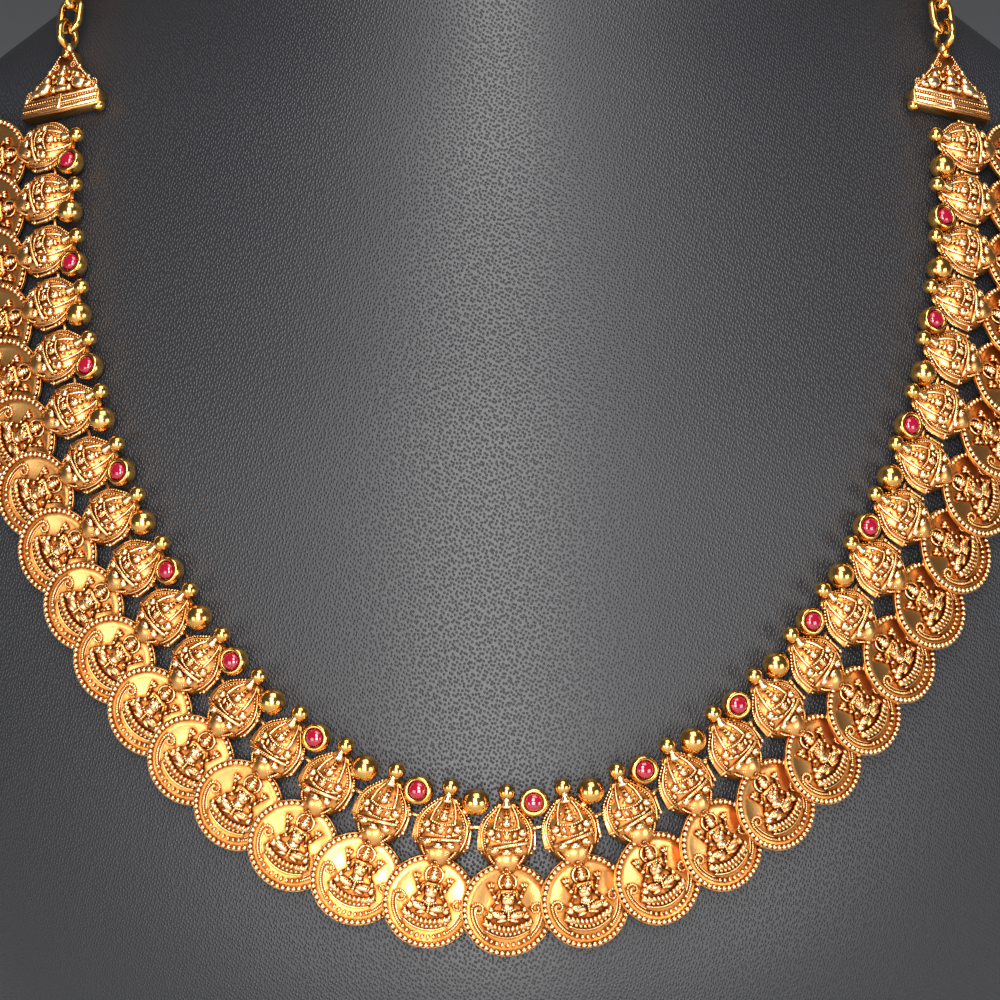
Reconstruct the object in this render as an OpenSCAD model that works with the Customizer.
// Gold coin necklace laid on a plain neck bust. All sizes in millimetres.
// The front of the bust faces -Y and its flat base stands on z = 0.
// Each motif has its own frame: x runs along the row, y points to the neck, z away from the bust.

/* [Row of motifs] */
// distance between two motifs along the row
motif_pitch = 9.3; // [9.25:0.05:9.4]
// smallest space between a motif and the bust
rest_gap = 0.35; // [0.3:0.05:0.6]

/* [Coin] */
// diameter of a coin
coin_d = 14; // [13.6:0.1:14.2]
// thickness of a coin's field
coin_t = 0.75; // [0.7:0.05:0.85]
// height of the rim above the field
rim_h = 0.3; // [0.25:0.05:0.35]
// distance from a motif's middle to its coin's middle
coin_drop = 11; // [10.8:0.1:11.2]
// lean of a coin, which lets it lap over the coin on its left
coin_lean = 11; // [10.8:0.2:11.6]
// beads round the rim
rim_beads = 32; // [28:2:34]

/* [Figure] */
// width of a figure
figure_w = 8.4; // [8:0.1:8.5]
// height of the figure's dome above its plate
figure_h = 2.5; // [2.3:0.1:2.7]
// finial ball diameter
finial_d = 2.6; // [2.3:0.1:2.7]

/* [Spacers] */
// spacer ball diameter
spacer_d = 4.1; // [3.8:0.05:4.2]
// outer diameter of a ruby's bezel
bezel_d = 4.5; // [4.3:0.05:4.55]
// ruby diameter
ruby_d = 2.6; // [2.4:0.1:2.7]

/* [Wire and chain] */
// diameter of the wire that strings the motifs
wire_d = 0.6; // [0.5:0.05:0.6]
// length of a chain link
link_l = 7.6; // [7.4:0.1:7.8]
// width of a chain link
link_w = 5; // [4.9:0.1:5.2]
// wire of a chain link
link_wire = 1.3; // [1.2:0.05:1.35]

/* [Hidden] */
// Motifs on each side of the middle one, as NODES lists them
side_motifs = 16;

// Bust
bust_step = 20;
bust_y = -5.4;
// half width, depth of the sides, extra depth in the middle, middle in y; a row every bust_step in z
HALF_W = 0; SIDE_D = 1; MID_D = 2; MID_Y = 3;
bust_rows = [
    [ 78, 38.0, 10.0,  -9],
    [ 80, 40.0, 12.5, -10],
    [ 83, 42.0, 14.5, -11],
    [ 88, 43.5, 16.0, -11],
    [ 94, 43.5, 18.0,  -9],
    [100, 42.0, 18.5,  -5],
    [105, 39.5, 20.0,   1],
    [107, 36.5, 21.5,   7],
    [106, 32.5, 24.5,  13],
    [102, 26.5, 28.0,  20],
    [ 92, 24.0, 30.0,  28],
    [ 68, 35.0, 20.0,  33],
    [ 60, 44.0,  4.0,  30],
];
bust_top = 240;
bust_sides = 60;
// steps between the bust's rings: below the necklace and under it
low_ring_step = 22.5;
low_rings_top = 90;
ring_step = 6;
// rounded top edge: height above bust_top, scale of the outline
cap_rows = [[2.5, 0.975], [4.2, 0.93], [5, 0.87]];
back_bulge = 0.5;

// Curve of the row of figures in front view
drape_w = 70.3;
drape_flare = 2.6;
drape_h = 87.4;
drape_z = 190;
drape_step = 0.5;
drape_end = 106;

// Heights inside a motif
barrel_r = 0.75;
barrel_z = 0.75;
barrel_y = 0.9;
barrel_l = 5;
bore_r = wire_d / 2 + 0.13;
plate_z = 1.2;
plate_t = 0.8;
plate_half = figure_w / 2 + 0.2;
body_z = 1.6;
finial_y = 6.35;
finial_z = 2.9;
spacer_x = 4.05;
spacer_y = 4.85;
spacer_z = 2.25;
neck_r = 0.6;
coin_z = 1.62;

// Bezel and ruby
bezel_base = 0.6;
bezel_top = 3.2;
seat_z = 2.05;
ruby_gap = 0.12;

// Terminals and chain
terminal_s = side_motifs * motif_pitch + 11.2;
terminal_in = 2.2;
terminal_w = 15.4;
terminal_l = 11.4;
terminal_t = 2.2;
terminal_z = 0.6;
bail_r = 2.1;
bail_wire = 1.2;
bail_z = 3.3;
chain_lift = 3.3;
chain_links = 24;
chain_rise = 13;
// share of the chain's run that turns from the bail's direction, and the run's rough length
chain_turn = 0.16;
chain_guess = 116;
link_reach = link_l / 2 - link_wire / 2;
clasp_l = 12;
clasp_eye = 1.9;
clasp_wire = 1.2;
// play between a link's end and the ring that it hangs in
link_play = 0.25;

gold = [0.85, 0.6, 0.25];
dark_gold = [0.75, 0.48, 0.2];
ruby_red = [0.75, 0.08, 0.2];
charcoal = [0.2, 0.2, 0.21];

// Small helpers
function unit(v) = v / norm(v);
function at_row(i, c) = bust_rows[max(0, min(len(bust_rows) - 1, i))][c];
function spline(p0, p1, p2, p3, u) =
    (2 * p1 + (p2 - p0) * u + (2 * p0 - 5 * p1 + 4 * p2 - p3) * u * u
        + (3 * p1 - p0 - 3 * p2 + p3) * u * u * u) / 2;
function bust_value(z, c) =
    let (i = min(len(bust_rows) - 2, max(0, floor(z / bust_step))), u = z / bust_step - i)
    spline(at_row(i - 1, c), at_row(i, c), at_row(i + 1, c), at_row(i + 2, c), u);

// Surface of the bust: its front by x and z, and all round by angle and z
function front_y(x, z) =
    let (c = sqrt(max(1e-4, 1 - pow(x / bust_value(z, HALF_W), 2))))
    bust_y + bust_value(z, MID_Y) - bust_value(z, SIDE_D) * c - bust_value(z, MID_D) * pow(c, 4);
function front_point(x, z) = [x, front_y(x, z), z];
function front_normal(x, z, h = 0.05) = unit([
    (front_y(x + h, z) - front_y(x - h, z)) / (2 * h),
    -1,
    (front_y(x, z + h) - front_y(x, z - h)) / (2 * h)]);
function front_space(p) = (front_y(p.x, p.z) - p.y) * -front_normal(p.x, p.z).y;
function round_point(a, z) =
    let (c = cos(a), side = c < 0 ? -1 : 1, mid = c < 0 ? back_bulge : 1)
    [bust_value(z, HALF_W) * sin(a),
     bust_y + bust_value(z, MID_Y)
        - side * (bust_value(z, SIDE_D) * abs(c) + mid * bust_value(z, MID_D) * pow(c, 4)),
     z];
function round_normal(a, z) = unit(cross(
    round_point(a + 0.5, z) - round_point(a - 0.5, z),
    round_point(a, z + 0.2) - round_point(a, z - 0.2)));

// Curve of the row, and its length so far against its angle
function drape_point(t) =
    front_point((drape_w + drape_flare * (1 - cos(t))) * sin(t), drape_z - drape_h * cos(t));
drape_table = [
    for (i = 0, t = 0, s = 0, p = drape_point(0), q = drape_point(drape_step);
         t <= drape_end;
         i = i + 1, t = i * drape_step, s = s + norm(q - p), p = q, q = drape_point(t + drape_step))
        [s, t]];
function drape_angle(s) = lookup(s, drape_table);

// Frame of a motif at length s: its x, y, z axes and its place on the bust
function half_frame(s) =
    let (t = drape_angle(s),
         p = drape_point(t),
         along = unit(drape_point(t + 0.1) - drape_point(t - 0.1)),
         n = front_normal(p.x, p.z),
         out = unit(cross(along, n)),
         far = p + coin_drop * out,
         foot = far - n * front_space(far),
         down = unit(foot - p),
         across = unit(cross(down, along)),
         normal = across * n > 0 ? across : -across)
    [cross(-down, normal), -down, normal, p];
function mirrored(f) = [
    [f[0].x, -f[0].y, -f[0].z],
    [-f[1].x, f[1].y, f[1].z],
    [-f[2].x, f[2].y, f[2].z],
    [-f[3].x, f[3].y, f[3].z]];
function frame_at(s) = s < 0 ? mirrored(half_frame(-s)) : half_frame(s);
function placed(f, v) = f[3] + f[0] * v.x + f[1] * v.y + f[2] * v.z;

// Lowest points of a motif and of a terminal, held off the bust by rest_gap
motif_feet = concat(
    [for (a = [0:30:330])
        [coin_d / 2 * cos(a) * cos(coin_lean), -coin_drop + coin_d / 2 * sin(a),
         coin_z - coin_d / 2 * cos(a) * sin(coin_lean)]],
    [for (x = [-barrel_l / 2, barrel_l / 2]) [x, barrel_y, 0]],
    [for (x = [-plate_half, plate_half], y = [-3.8, 3]) [x, y, plate_z]],
    [[spacer_x, spacer_y, spacer_z - spacer_d / 2],
     [spacer_x + 1.4, spacer_y + 1.2, bezel_base + 0.1],
     [0, finial_y, finial_z - finial_d / 2]]);
terminal_feet = [
    for (x = [-terminal_w / 2, 0, terminal_w / 2], y = [-5, 2]) [y, x + terminal_in, terminal_z],
    [11, terminal_in, 1.2]];
function lift_of(f, feet) = rest_gap - min([for (v = feet) front_space(placed(f, v))]);
function lifted(f, h) = [f[0], f[1], f[2], f[3] + f[2] * h];

motif_frames = [
    for (k = [-side_motifs:side_motifs])
        let (f = frame_at(k * motif_pitch)) lifted(f, lift_of(f, motif_feet))];
terminal_frame =
    let (f = frame_at(terminal_s)) lifted(f, lift_of(f, terminal_feet));

// Path of the chain round the back of the neck, on the right side
bail_x = terminal_l / 2 + bail_r + 0.4;
bail_end = placed(terminal_frame, [bail_x, terminal_in, 0]);
bail_middle = placed(terminal_frame, [bail_x, terminal_in, bail_z]);
back_z = bail_end.z;
back_start = asin(min(0.999, bail_end.x / bust_value(back_z, HALF_W)));
function back_angle(u) = back_start + (180 - back_start) * u;
function back_height(u) = back_z + chain_rise * (1 - exp(-5 * u)) / (1 - exp(-5));
function on_back(u) =
    let (a = back_angle(u), z = back_height(u))
    round_point(a, z) + round_normal(a, z) * chain_lift;
// leaves the bail straight on, then follows the bust
function back_point(u) =
    let (f = min(1, u / chain_turn), w = f * f * (3 - 2 * f))
    (bail_middle + terminal_frame[0] * u * chain_guess) * (1 - w) + on_back(u) * w;
back_count = 120;
back_table = [
    for (i = 0, s = 0; i <= back_count;
         s = s + norm(back_point((i + 1) / back_count) - back_point(i / back_count)), i = i + 1)
        [s, i / back_count]];
back_length = back_table[back_count][0];
chain_start = bail_r - (bail_wire + link_wire) / 2 - link_play + link_reach;
chain_end = clasp_l / 2 - (clasp_wire + link_wire) / 2 - link_play + link_reach;
chain_pitch = (back_length - chain_start - chain_end) / (chain_links - 1);
function back_at(s) = back_point(lookup(s, back_table));
function chain_frame(s) =
    let (u = lookup(s, back_table),
         p = back_at(s),
         along = unit(back_at(s + 0.5) - back_at(s - 0.5)),
         f = min(1, u / chain_turn),
         n = unit(terminal_frame[2] * (1 - f) + round_normal(back_angle(u), back_height(u)) * f),
         side = unit(cross(n, along)))
    [along, side, cross(along, side), p];

module in_frame(f) {
    multmatrix([
        [f[0].x, f[1].x, f[2].x, f[3].x],
        [f[0].y, f[1].y, f[2].y, f[3].y],
        [f[0].z, f[1].z, f[2].z, f[3].z],
        [0, 0, 0, 1]])
        children();
}

module ball(d, sides = 24) {
    sphere(d = d, $fn = sides);
}

// Bar with a round section between two points
module rod(a, b, r1, r2, sides = 16) {
    v = b - a;
    translate(a)
        rotate([0, acos(v.z / norm(v)), atan2(v.y, v.x)])
            cylinder(h = norm(v), r1 = r1, r2 = r2, $fn = sides);
}

// Raised curved wire lying in the plane of a coin or plate
module arc_wire(radius, wire, from, to) {
    rotate([0, 0, from])
        rotate_extrude(angle = to - from, $fn = 48)
            translate([radius, 0])
                circle(d = wire, $fn = 16);
}

// Coin with a beaded rim and a seated figure between two scrolls
module coin() {
    r = coin_d / 2;
    bead_r = r - 0.75;
    difference() {
        cylinder(h = coin_t + rim_h, r = r, $fn = 72);
        translate([0, 0, coin_t])
            cylinder(h = rim_h + 1, r = r - 0.3, $fn = 72);
    }
    for (i = [0:rim_beads - 1])
        rotate([0, 0, i * 360 / rim_beads])
            translate([bead_r, 0, coin_t])
                ball(0.8, 16);
    translate([0, 0, coin_t]) {
        coin_scrolls();
        coin_petals();
        seated_figure();
    }
}

module coin_scrolls() {
    scroll_r = 5.1;
    for (side = [0, 1])
        mirror([side, 0, 0]) {
            arc_wire(scroll_r, 0.36, -48, 0);
            translate([scroll_r - 0.75, 0, 0])
                arc_wire(0.75, 0.36, 0, 250);
        }
}

module coin_petals() {
    for (i = [-3:3])
        rotate([0, 0, i * 12])
            translate([0, -5.2, 0])
                ball(0.75, 16);
}

module seated_figure() {
    // lotus seat
    for (i = [-2:2])
        rotate([0, 0, i * 22])
            translate([0, -3.6, 0])
                ball(1.5, 16);
    // crossed legs and body
    rod([-2, -1.9, 0.05], [2, -1.9, 0.05], 0.62, 0.62);
    rod([0, -1.6, 0.1], [0, 0.9, 0.2], 0.95, 0.7);
    // lower hands and knees
    for (side = [-1, 1]) {
        translate([side * 1.9, -1.75, 0.1])
            ball(1.5, 16);
        rod([side * 0.7, 0.7, 0.15], [side * 2, 0.2, 0.1], 0.34, 0.3);
        rod([side * 2, 0.2, 0.1], [side * 2.45, 1.7, 0.1], 0.3, 0.26);
        translate([side * 2.5, 2, 0.1])
            ball(1.05, 16);
    }
    // halo and crowned head
    translate([0, 2, -0.1])
        cylinder(h = 0.32, r = 1.25, $fn = 32);
    translate([0, 1.8, 0.25])
        ball(1.2, 20);
    rod([0, 2.1, 0.25], [0, 3.2, 0.1], 0.5, 0.16);
}

// Outline of the figure's body: half width as a part of the whole, against y
body_outline = [
    [0.1, -5.7], [0.4, -5.0], [0.67, -4.0], [0.87, -2.8], [0.97, -1.4], [1, 0],
    [0.95, 1.1], [0.8, 2.3], [0.55, 3.4], [0.3, 4.4], [0.15, 5]];

module figure() {
    half = figure_w / 2;
    sink = (half * half / figure_h - figure_h) / 2;
    first = body_outline[0];
    last = body_outline[len(body_outline) - 1];
    translate([0, 0, body_z])
        difference() {
            union() {
                translate([0, 0, -sink])
                    rotate([-90, 0, 0])
                        rotate_extrude($fn = 64)
                            polygon(concat([[0, first.y]],
                                [for (p = body_outline) [norm([p.x * half, sink]), p.y]],
                                [[0, last.y]]));
                // bowl that ends over the coin's top
                translate([0, -3.25, -0.4])
                    ball(5.2, 40);
            }
            translate([-10, -10, -20])
                cube([20, 20, 20]);
        }
    translate([0, 0, body_z]) {
        // crowned head under an arch
        translate([0, 1.2, figure_h - 0.35])
            ball(1.9, 20);
        rod([0, 1.6, figure_h - 0.1], [0, 4, 1.2], 0.6, 0.3);
        for (side = [-1, 1])
            rod([side * 1.9, 0.6, figure_h - 0.6], [side * 0.45, 4.4, 0.95], 0.4, 0.3);
        // two rounded forms above the rope bar
        for (side = [-1, 1])
            translate([side * 2, -0.35, figure_h - 0.75])
                ball(1.7, 20);
        rod([-3.2, -1.75, figure_h - 1.0], [3.2, -1.75, figure_h - 1.0], 0.62, 0.62);
        // leaf petals below the bar
        for (i = [-1:1])
            translate([i * 1.45, -3 + abs(i) * 0.25, figure_h - 1.1 - abs(i) * 0.3])
                ball(1.15, 16);
        // curved ridges down both sides
        for (side = [0, 1])
            mirror([side, 0, 0])
                translate([0, 0, 0.45])
                    arc_wire(half - 0.3, 0.7, -35, 50);
    }
    // finial
    translate([0, finial_y, finial_z])
        ball(finial_d, 32);
    rod([0, 4.2, body_z + 0.9], [0, finial_y, finial_z], 0.85, 0.45);
}

// Backing plate with a drilled barrel for the wire
module backing() {
    half = plate_half;
    translate([0, 0, plate_z])
        linear_extrude(plate_t)
            polygon([[-half, -2.3], [-2.4, -2.7], [-1.5, -5.6], [1.5, -5.6], [2.4, -2.7], [half, -2.3],
                     [half, -0.5], [half - 0.6, 1.5], [2.2, 3.2], [1.2, 4.6], [-1.2, 4.6], [-2.2, 3.2],
                     [-half + 0.6, 1.5], [-half, -0.5]]);
    difference() {
        translate([-barrel_l / 2, barrel_y, barrel_z])
            rotate([0, 90, 0])
                cylinder(h = barrel_l, r = barrel_r, $fn = 24);
        translate([-barrel_l / 2 - 1, barrel_y, barrel_z])
            rotate([0, 90, 0])
                cylinder(h = barrel_l + 2, r = bore_r, $fn = 24);
    }
}

// Solder neck between the backing plate and its spacer
module spacer_neck() {
    rod([1.9, 2.3, plate_z + 0.4], [spacer_x - 0.7, spacer_y - 1.1, 1.35], neck_r, neck_r);
}

module spacer_ball() {
    translate([spacer_x, spacer_y, spacer_z])
        ball(spacer_d, 40);
    spacer_neck();
}

module bezel() {
    r = bezel_d / 2;
    bore = ruby_d / 2 + ruby_gap;
    translate([spacer_x, spacer_y, 0])
        rotate_extrude($fn = 48)
            polygon([[0, bezel_base], [r - 0.7, bezel_base], [r - 0.15, bezel_base + 0.6],
                     [r, bezel_base + 1.3], [r - 0.08, bezel_top - 0.35], [r - 0.4, bezel_top],
                     [bore + 0.1, bezel_top], [bore, bezel_top - 0.15], [bore, seat_z], [0, seat_z]]);
    spacer_neck();
}

// Domed ruby that fills its bezel's seat
module ruby() {
    r = ruby_d / 2;
    translate([spacer_x, spacer_y, seat_z + ruby_gap])
        rotate_extrude($fn = 32)
            polygon(concat([[0, 0], [r, 0]],
                [for (a = [0:15:75]) [r * cos(a), 0.85 + 0.75 * sin(a)]], [[0, 1.6]]));
}

module motif(k) {
    in_frame(motif_frames[k + side_motifs])
        color(gold) {
            backing();
            figure();
            translate([0, -coin_drop, coin_z])
                rotate([0, coin_lean, 0])
                    coin();
            if (k < side_motifs && k % 2 == 0)
                bezel();
            else if (k < side_motifs)
                spacer_ball();
        }
}

module rubies() {
    color(ruby_red)
        for (k = [-side_motifs:2:side_motifs - 1])
            in_frame(motif_frames[k + side_motifs])
                ruby();
}

// Tube with few sides along a list of points
module tube(points, r, sides = 6) {
    n = len(points);
    ring = [for (i = [0:n - 1])
        let (d = unit(points[min(n - 1, i + 1)] - points[max(0, i - 1)]),
             u = unit(cross(d, [0, -0.3, 1])),
             v = cross(d, u))
        for (j = [0:sides - 1])
            points[i] + r * (cos(j * 360 / sides) * u + sin(j * 360 / sides) * v)];
    walls = [for (i = [0:n - 2], j = [0:sides - 1])
        let (a = i * sides + j, b = i * sides + (j + 1) % sides)
        [a, b, b + sides, a + sides]];
    polyhedron(ring, concat(walls,
        [[for (j = [sides - 1:-1:0]) j]],
        [[for (j = [0:sides - 1]) (n - 1) * sides + j]]));
}

// Wire that strings all the barrels
module link_wire_run() {
    wire_end = barrel_l / 2 + 0.3;
    color(dark_gold)
        tube([for (f = motif_frames, x = [-wire_end, wire_end]) placed(f, [x, barrel_y, barrel_z])],
             wire_d / 2);
}

// Pagoda shaped end piece with a bail, drawn with its point along +x
module terminal() {
    half = terminal_w / 2;
    long = terminal_l;
    // outline steps in towards the point
    outline = [[0, half], [2.6, half], [3.2, half - 1.1], [5, half - 2.1], [5.4, half - 3],
               [7.4, half - 4.2], [7.8, half - 5], [long - 1, 1.5], [long, 0.9]];
    translate([-long / 2, terminal_in, terminal_z]) {
        linear_extrude(terminal_t)
            polygon(concat(outline, [for (i = [len(outline) - 1:-1:0]) [outline[i].x, -outline[i].y]]));
        translate([0, 0, terminal_t]) {
            // ridges and beads along the base
            for (x = [0.7, 2.6])
                rod([x, -half + 0.3, 0], [x, half - 0.3, 0], 0.4, 0.4);
            rod([0.5, 0, 0.1], [2.8, 0, 0.1], 0.6, 0.6);
            for (i = [-7:7])
                translate([1.65, i * 0.95, 0])
                    ball(0.7, 16);
            // twin figures, buds and scrolls
            for (side = [-1, 1]) {
                translate([5, side * 1.9, 0])
                    ball(3.1, 24);
                translate([7.1, side * 1.35, 0.1])
                    ball(1.9, 20);
                translate([4.3, side * 4.6, 0])
                    ball(1.9, 20);
                translate([6.6, side * 3.1, -0.1])
                    ball(1.4, 16);
            }
            translate([8.9, 0, 0])
                ball(2.2, 20);
        }
        // knob and bail
        rod([long - 1.6, 0, terminal_t / 2], [long + 0.9, 0, bail_z - 0.9], 1.05, 0.9, 24);
        translate([bail_x + long / 2, 0, bail_z - terminal_z])
            rotate([90, 0, 0])
                rotate_extrude($fn = 32)
                    translate([bail_r, 0])
                        circle(d = bail_wire, $fn = 16);
    }
}

// Small ball at the end of the terminal's base, next to the finials
module terminal_ball() {
    translate([-terminal_l / 2 + 0.2, terminal_in + terminal_w / 2 - 0.6, 1.5])
        ball(2.1, 24);
}

module terminal_right() {
    color(gold)
        in_frame(terminal_frame) {
            terminal();
            terminal_ball();
        }
}

module terminal_left() {
    color(gold)
        mirror([1, 0, 0])
            in_frame(terminal_frame) {
                terminal();
                terminal_ball();
            }
}

// Oval link made of two half rings and two straight sides
module chain_link() {
    end_r = (link_w - link_wire) / 2;
    run = link_l - link_w;
    for (side = [0, 180])
        rotate([0, 0, side])
            translate([run / 2, 0, 0])
                rotate([0, 0, -90])
                    rotate_extrude(angle = 180, $fn = 32)
                        translate([end_r, 0])
                            circle(d = link_wire, $fn = 16);
    for (side = [-1, 1])
        translate([-run / 2, side * end_r, 0])
            rotate([0, 90, 0])
                cylinder(h = run, d = link_wire, $fn = 16);
}

module chain() {
    for (i = [0:chain_links - 1])
        in_frame(chain_frame(chain_start + i * chain_pitch))
            rotate([(i % 2) * 90, 0, 0])
                chain_link();
}

module chain_right() {
    color(gold) chain();
}

module chain_left() {
    color(gold) mirror([1, 0, 0]) chain();
}

// Plain clasp at the back: a bar with an eye at each end
module clasp() {
    f = chain_frame(back_length);
    color(gold)
        translate([0, f[3].y, f[3].z]) {
            for (side = [-1, 1])
                translate([side * (clasp_l / 2 - clasp_eye), 0, 0])
                    rotate([90, 0, 0])
                        rotate_extrude($fn = 32)
                            translate([clasp_eye, 0])
                                circle(d = clasp_wire, $fn = 16);
            rod([-clasp_l / 2 + 2 * clasp_eye, 0, 0], [clasp_l / 2 - 2 * clasp_eye, 0, 0], 0.8, 0.8);
        }
}

// Bust as rings of points from its base to its rounded top
bust_levels = concat([for (z = [0:low_ring_step:low_rings_top]) [z, 1]],
    [for (z = [low_rings_top + ring_step:ring_step:bust_top]) [z, 1]],
    [for (c = cap_rows) [bust_top + c[0], c[1]]]);

module neck_bust() {
    points = [
        for (level = bust_levels, i = [0:bust_sides - 1])
            let (z = min(level[0], bust_top),
                 p = round_point(i * 360 / bust_sides, z),
                 m = [0, bust_y + bust_value(z, MID_Y), 0])
            [p.x * level[1], m.y + (p.y - m.y) * level[1], level[0]]];
    n = bust_sides;
    rings = len(bust_levels);
    walls = [for (r = [0:rings - 2], i = [0:n - 1])
        let (a = r * n + i, b = r * n + (i + 1) % n)
        each [[a, a + n, b], [b, a + n, b + n]]];
    color(charcoal)
        polyhedron(points, concat(walls,
            [[for (i = [0:n - 1]) i]],
            [[for (i = [n - 1:-1:0]) (rings - 1) * n + i]]));
}

function two_digits(i) = i < 10 ? str("0", i) : str(i);
MOTIF_NODES = [for (k = [-side_motifs:side_motifs]) str("motif_", two_digits(k + side_motifs + 1))];

neck_bust();
link_wire_run();  // link_wire
rubies();
terminal_left();
terminal_right();
chain_left();
chain_right();
clasp();
for (k = [-side_motifs:side_motifs])
    motif(k);
